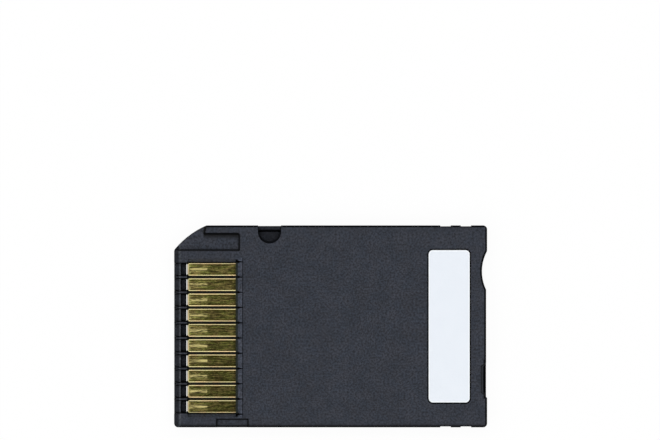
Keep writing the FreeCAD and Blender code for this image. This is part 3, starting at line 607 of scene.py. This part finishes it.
def contact_gold():
    """Gold plate, brushed along the card, with a brighter wipe mark in the middle of each front half."""
    finish = Finish("contact_gold")
    across, along = contact_places(finish)
    streaks = finish.noise(STREAK_SIZE, detail=3.0, roughness=0.6, stretch=STREAK_STRETCH)
    patches = finish.noise(PATCH_SIZE, detail=3.0, roughness=0.6, stretch=PATCH_STRETCH)
    specks = finish.noise(SPECK_SIZE, detail=2.0, roughness=0.6, stretch=SPECK_STRETCH)
    glints = finish.noise(GLINT_SIZE, detail=2.0, stretch=GLINT_STRETCH)
    patched = finish.ramp(patches, *PATCH_CHANGE)
    marks = finish.math(
        "ADD", finish.math("MULTIPLY", streaks, STREAK_SHARE), finish.math("MULTIPLY", specks, SPECK_SHARE))

    wiped = finish.both(
        finish.below(across, *WIPE_ACROSS),
        finish.within(along, *WIPE_ALONG),
        finish.ramp(streaks, *WIPE_CHANGE))
    # A painted dark reflection runs just inside each long edge of the plate.
    dark_reflection_line = finish.within(across, *DARK_REFLECTION_ACROSS)
    # The plate's level holds a painted highlight behind the nose and a painted fall-off of light along the
    # row.
    level = finish.both(
        finish.ramp(marks, *MARK_CHANGE),
        finish.ramp(along, *NOSE_HIGHLIGHT_CHANGE),
        finish.ramp(along, *MIDDLE_CHANGE),
        finish.ramp(along, *TAIL_CHANGE),
        finish.ramp(finish.y, *ROW_LIGHT_FALLOFF))
    tint = finish.mix(patched, GOLD_GREENISH, GOLD_REDDISH)
    plate = finish.mix(dark_reflection_line, finish.mix(wiped, finish.scaled(tint, level), GOLD_WIPED), GOLD_DARK_REFLECTION)

    edge = finish.below(finish.upward, *GOLD_EDGE_SLOPE)
    edge_level = finish.both(
        finish.ramp(glints, *GLINT_CHANGE), finish.ramp(along, *EDGE_TIP_CHANGE))
    edge_tint = finish.scaled(finish.mix(patched, GOLD_EDGE_YELLOW, GOLD_EDGE_ORANGE), edge_level)
    worn = finish.ramp(finish.either(wiped, marks), *WORN_ROUGHNESS_CHANGE)
    finish.surface(
        Base_Color=finish.mix(edge, plate, edge_tint),
        Metallic=1.0,
        Roughness=finish.either(worn, finish.math("MULTIPLY", edge, GOLD_EDGE_ROUGHNESS)))
    finish.bump(finish.math("ADD", streaks, specks), BRUSH_DEPTH, finish.share(edge, BRUSH_STRENGTH, 0.0))
    return finish.material


# Board
BOARD_DARK = (0.008, 0.014, 0.010)
BOARD_LIGHT = (0.014, 0.022, 0.015)
WEAVE_SIZE = 0.25 * MM
WEAVE_ROUGHNESS_CHANGE = (0.3, 0.7, 0.3, 0.45)


def board_laminate():
    """Dark solder mask with a faint weave under it."""
    finish = Finish("board_laminate")
    weave = finish.noise(WEAVE_SIZE, detail=2.0)
    finish.surface(
        Base_Color=finish.mix(weave, BOARD_DARK, BOARD_LIGHT),
        Roughness=finish.ramp(weave, *WEAVE_ROUGHNESS_CHANGE))
    return finish.material


# Packages
EPOXY_DARK = (0.012, 0.012, 0.013)
EPOXY_LIGHT = (0.028, 0.028, 0.029)
FILLER_SIZE = 0.08 * MM
FILLER_ROUGHNESS_CHANGE = (0.3, 0.7, 0.45, 0.6)
FILLER_DEPTH = 0.008 * MM
FILLER_STRENGTH = 0.4


def package_epoxy():
    """Moulded package: nearly black, with a fine sparkle of filler."""
    finish = Finish("package_epoxy")
    filler = finish.noise(FILLER_SIZE, detail=2.0)
    finish.surface(
        Base_Color=finish.mix(filler, EPOXY_DARK, EPOXY_LIGHT),
        Roughness=finish.ramp(filler, *FILLER_ROUGHNESS_CHANGE))
    finish.bump(filler, FILLER_DEPTH, FILLER_STRENGTH)
    return finish.material


# Capacitors and resistors
CAPACITOR_BROWN = (0.36, 0.25, 0.15)
RESISTOR_BLACK = (0.03, 0.03, 0.032)
CERAMIC_DARKER = 0.75
CERAMIC_ROUGHNESS = 0.5
CERAMIC_GRAIN_SIZE = 0.06 * MM
TIN_DARK = (0.55, 0.54, 0.52)
TIN_LIGHT = (0.68, 0.67, 0.65)
TIN_ROUGHNESS = 0.3
TIN_SHARE = 0.25


def chip_ceramic(name, body_colour, nodes):
    """Ceramic body between two tinned ends. Chips of a kind lie side by side, so one mask fits them all."""
    finish = Finish(name)
    low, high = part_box(nodes[0])
    end = (high.x - low.x) * TIN_SHARE
    body = finish.within(finish.x, low.x + end, high.x - end, SHARP)
    grain = finish.noise(CERAMIC_GRAIN_SIZE)
    darker = tuple(CERAMIC_DARKER * part for part in body_colour)
    ceramic = finish.mix(grain, darker, body_colour)
    tin = finish.mix(grain, TIN_DARK, TIN_LIGHT)
    finish.surface(
        Base_Color=finish.mix(body, tin, ceramic),
        Metallic=finish.outside(body),
        Roughness=finish.share(body, TIN_ROUGHNESS, CERAMIC_ROUGHNESS))
    return finish.material


# Writing film
FILM_WHITE = (0.855, 0.90, 0.96)
FILM_SHADE = (0.835, 0.885, 0.95)
FILM_HIGHLIGHT_BORDER = (0.93, 0.965, 1.0)
MOTTLE_SIZE = 1.4 * MM
MOTTLE_ROUGHNESS_CHANGE = (0.3, 0.7, 0.42, 0.52)
FILM_GRAIN_SIZE = 0.1 * MM
FILM_GRAIN_DEPTH = 0.002 * MM
FILM_GRAIN_STRENGTH = 0.2


def label_film():
    """White writing film with a very faint mottle and a painted highlight along its border."""
    finish = Finish("label_film")
    mottle = finish.noise(MOTTLE_SIZE, detail=3.0)
    border = finish.above(finish.from_box(strip_low, strip_high, STRIP_CORNER), -STRIP_BORDER, MILD)
    finish.surface(
        Base_Color=finish.mix(border, finish.mix(mottle, FILM_SHADE, FILM_WHITE), FILM_HIGHLIGHT_BORDER),
        Roughness=finish.ramp(mottle, *MOTTLE_ROUGHNESS_CHANGE))
    finish.bump(finish.noise(FILM_GRAIN_SIZE), FILM_GRAIN_DEPTH, FILM_GRAIN_STRENGTH)
    return finish.material


def dress(names, material):
    """Give CAD nodes their finish."""
    for name in names:
        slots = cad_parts[name].data.materials
        slots.clear()
        slots.append(material)


def named(start):
    """CAD nodes whose names start with this."""
    return sorted(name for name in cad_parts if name.startswith(start))


capacitors = named("capacitor")
resistors = named("resistor")
dress(["contact_shell"], shell_plastic())
dress(["label_shell"], label_shell_plastic())
dress(["circuit_board"], board_laminate())
dress(["write_on_label"], label_film())
dress(named("contact_0") + named("contact_1"), contact_gold())
dress(["memory_chip", "controller_chip"], package_epoxy())
dress(capacitors, chip_ceramic("capacitor_ceramic", CAPACITOR_BROWN, capacitors))
dress(resistors, chip_ceramic("resistor_ceramic", RESISTOR_BLACK, resistors))


# Studio

def floor_white():
    """White finish. Most of its light to the camera is its own, so that the card's shadow stays faint."""
    finish = Finish("floor_white")
    finish.surface(Base_Color=(*FLOOR_COLOUR, 1.0), Roughness=1.0, Specular_IOR_Level=0.0)
    # Under the contact row the floor's glow is lower and warmer: painted shade and a painted reflection of
    # the gold.
    covered = finish.both(
        finish.within(finish.x, contact_front - SOFT, contact_rear, SOFT),
        finish.within(finish.y, row_start, row_end, SOFT))
    ray = finish.add("ShaderNodeLightPath").outputs
    seen = finish.either(ray["Is Camera Ray"], ray["Is Glossy Ray"], ray["Is Transmission Ray"])
    glow = finish.add("ShaderNodeEmission")
    finish.put(glow.inputs["Color"], finish.mix(covered, FLOOR_COLOUR, COVERED_GOLD_REFLECTION))
    blend = finish.add("ShaderNodeMixShader")
    finish.put(blend.inputs[0], finish.both(seen, finish.share(covered, FLOOR_GLOW, COVERED_PAINTED_GLOW)))
    finish.put(blend.inputs[1], finish.shader.outputs[0])
    finish.put(blend.inputs[2], glow.outputs[0])
    finish.put(finish.tree.nodes["Material Output"].inputs["Surface"], blend.outputs[0])
    return finish.material


def make_floor():
    """Level square just under the card."""
    mesh = bpy.data.meshes.new("floor")
    corners = [(-1, -1), (1, -1), (1, 1), (-1, 1)]
    points = [(x * FLOOR_HALF, y * FLOOR_HALF, cad_low.z - FLOOR_DROP) for x, y in corners]
    mesh.from_pydata(points, [], [(0, 1, 2, 3)])
    mesh.materials.append(floor_white())
    floor = bpy.data.objects.new("floor", mesh)
    bpy.context.scene.collection.objects.link(floor)


def make_lamp(name, azimuth, elevation, width, height, radiance):
    """Rectangular soft lamp that faces the card. Azimuth 0 is +X and 90 is +Y, in degrees."""
    turn = math.radians(azimuth)
    rise = math.radians(elevation)
    outward = Vector((math.cos(turn) * math.cos(rise), math.sin(turn) * math.cos(rise), math.sin(rise)))
    data = bpy.data.lights.new(name, "AREA")
    data.shape = "RECTANGLE"
    data.size = width
    data.size_y = height
    data.energy = radiance * math.pi * width * height
    lamp = bpy.data.objects.new(name, data)
    lamp.location = outward * LAMP_DISTANCE
    lamp.rotation_euler = (-outward).to_track_quat("-Z", "Y").to_euler()
    bpy.context.scene.collection.objects.link(lamp)


def make_world():
    """Dim ceiling that gets lighter towards the horizon."""
    world = bpy.data.worlds.new("studio")
    bpy.context.scene.world = world
    world.use_nodes = True
    tree = world.node_tree
    direction = tree.nodes.new("ShaderNodeTexCoord").outputs["Generated"]
    parts = tree.nodes.new("ShaderNodeSeparateXYZ")
    level = tree.nodes.new("ShaderNodeMapRange")
    level.interpolation_type = "SMOOTHSTEP"
    level.inputs["From Min"].default_value = 0.0
    level.inputs["From Max"].default_value = ZENITH_HEIGHT
    level.inputs["To Min"].default_value = HORIZON_LIGHT
    level.inputs["To Max"].default_value = ZENITH_LIGHT
    background = tree.nodes["Background"]
    background.inputs["Color"].default_value = WORLD_COLOUR
    tree.links.new(direction, parts.inputs[0])
    tree.links.new(parts.outputs["Z"], level.inputs["Value"])
    tree.links.new(level.outputs["Result"], background.inputs["Strength"])


def make_camera():
    """Camera above the card, which looks straight down."""
    data = bpy.data.cameras.new("camera")
    data.lens = LENS_MM
    data.sensor_width = SENSOR_MM
    data.clip_start = NEAREST_SEEN
    data.clip_end = FARTHEST_SEEN
    camera = bpy.data.objects.new("camera", data)
    centre = (cad_low + cad_high) / 2
    frame_width = IMAGE_WIDTH / PIXELS_PER_METRE
    camera.location = (
        centre.x + (IMAGE_WIDTH / 2 - CARD_CENTRE_PIXEL[0]) / PIXELS_PER_METRE,
        centre.y + (CARD_CENTRE_PIXEL[1] - IMAGE_HEIGHT / 2) / PIXELS_PER_METRE,
        cad_high.z + frame_width * LENS_MM / SENSOR_MM)
    bpy.context.scene.collection.objects.link(camera)
    bpy.context.scene.camera = camera


make_floor()
make_world()
make_lamp("lamp_front_end", azimuth=180, elevation=48, width=0.60, height=0.30, radiance=1.05)
make_lamp("lamp_rear_end", azimuth=0, elevation=52, width=0.50, height=0.30, radiance=1.1)
make_lamp("lamp_near_side", azimuth=270, elevation=50, width=0.70, height=0.36, radiance=1.3)
make_lamp("lamp_far_side", azimuth=90, elevation=50, width=0.70, height=0.36, radiance=1.2)
make_camera()
bpy.context.scene.view_settings.view_transform = "Standard"
